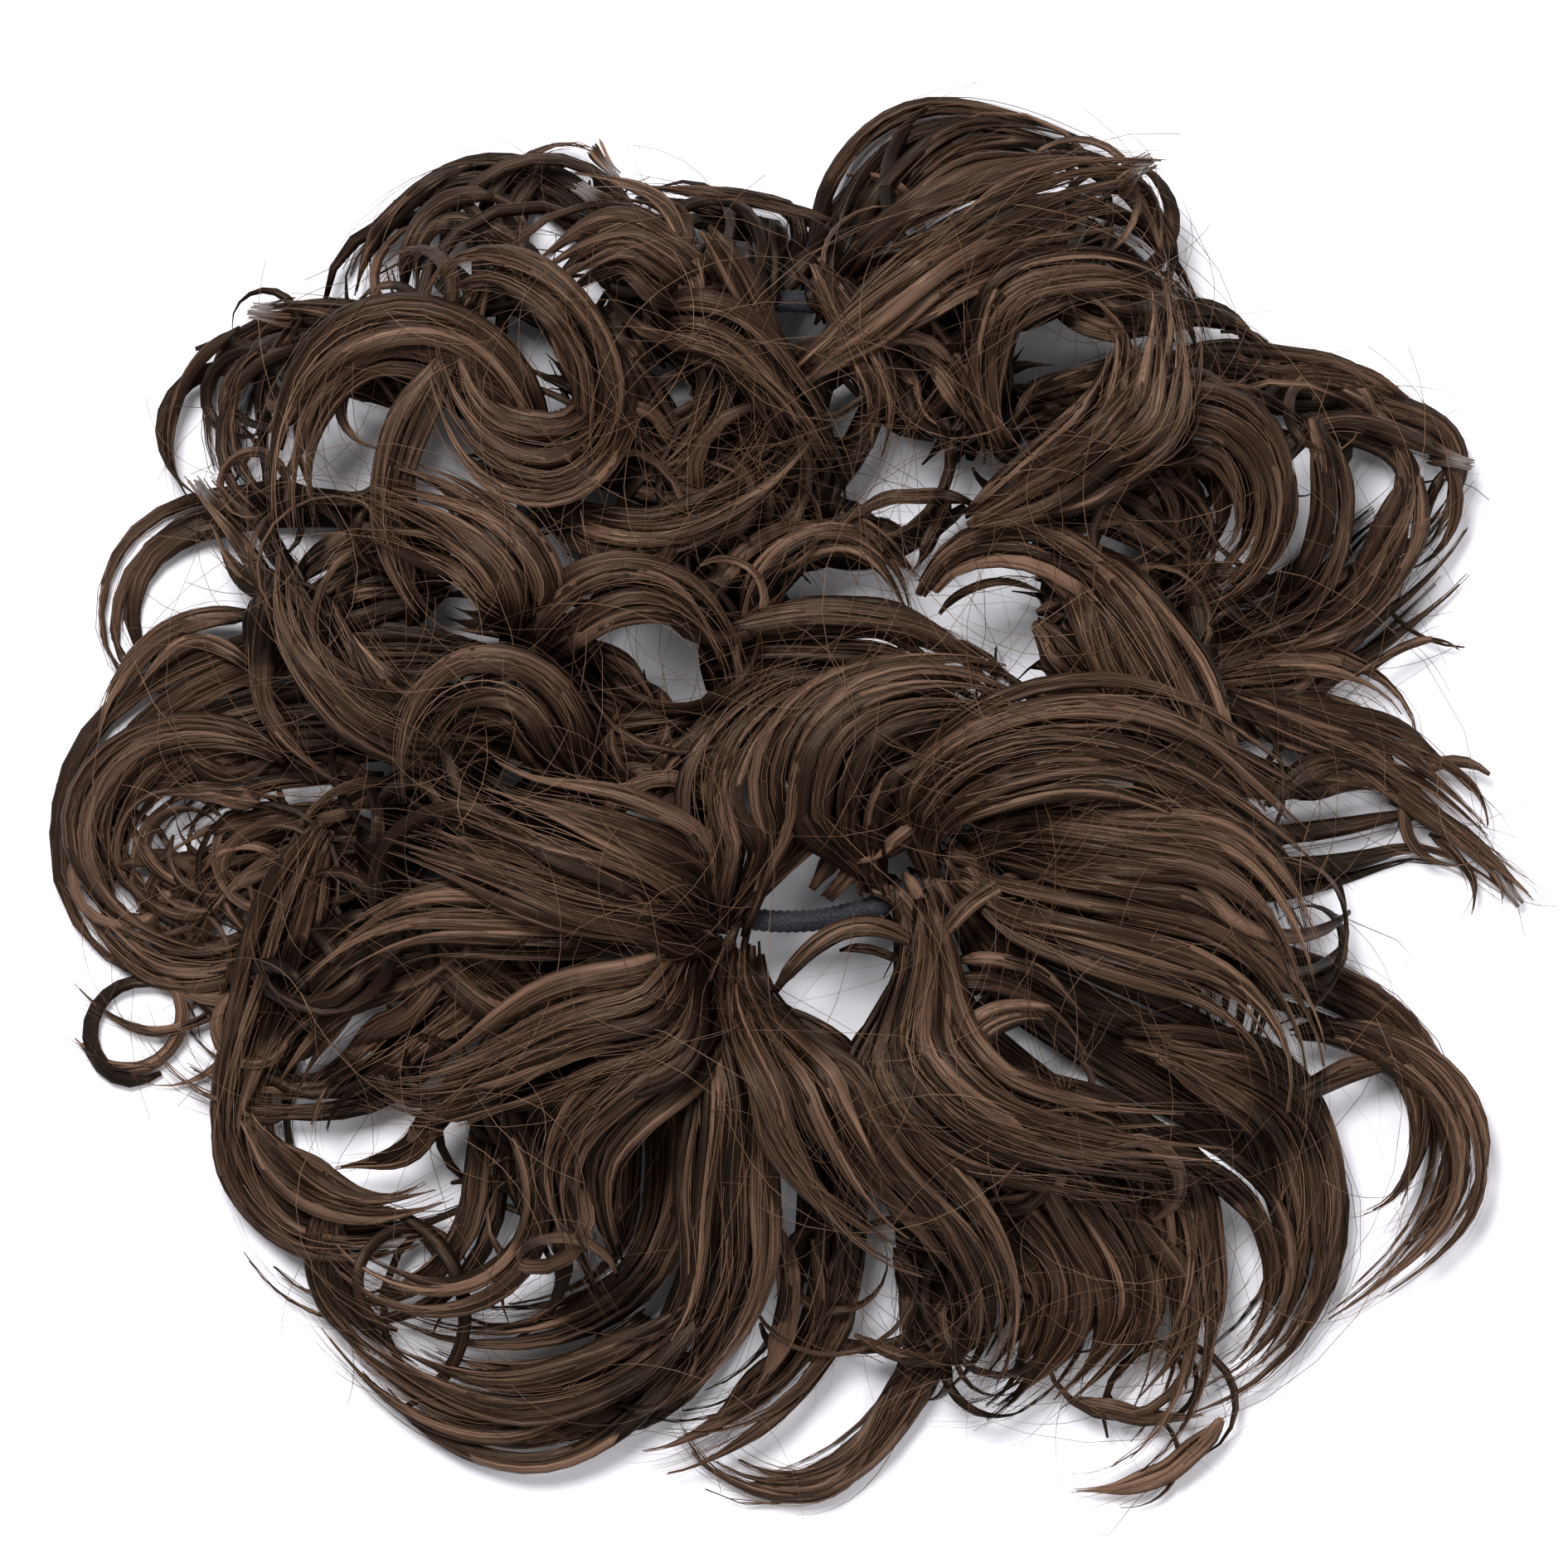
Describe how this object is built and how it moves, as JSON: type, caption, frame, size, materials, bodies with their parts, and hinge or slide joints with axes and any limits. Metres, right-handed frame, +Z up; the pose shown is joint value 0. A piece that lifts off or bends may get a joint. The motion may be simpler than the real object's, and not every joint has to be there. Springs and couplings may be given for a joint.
{
  "type": "top knot hairpiece",
  "caption": "Curly dark brown false-hair bun on an elastic loop, laid out flat with its curls spread round an open middle.",
  "frame": {"origin": "middle of the bounding box at its foot, on the surface that the hairpiece lies on", "axes": "+Z up out of the surface, +X to the picture's right, +Y to the picture's top"},
  "size_m": [0.3208, 0.3052, 0.0556],
  "materials": {
    "hair": "soft sheen",
    "elastic": "matt woven"
  },
  "bodies": {
    "root": {"elastic_band": "elastic", "lower_weft_locks": "hair", "upper_weft_locks": "hair"}
  },
  "joints": []
}
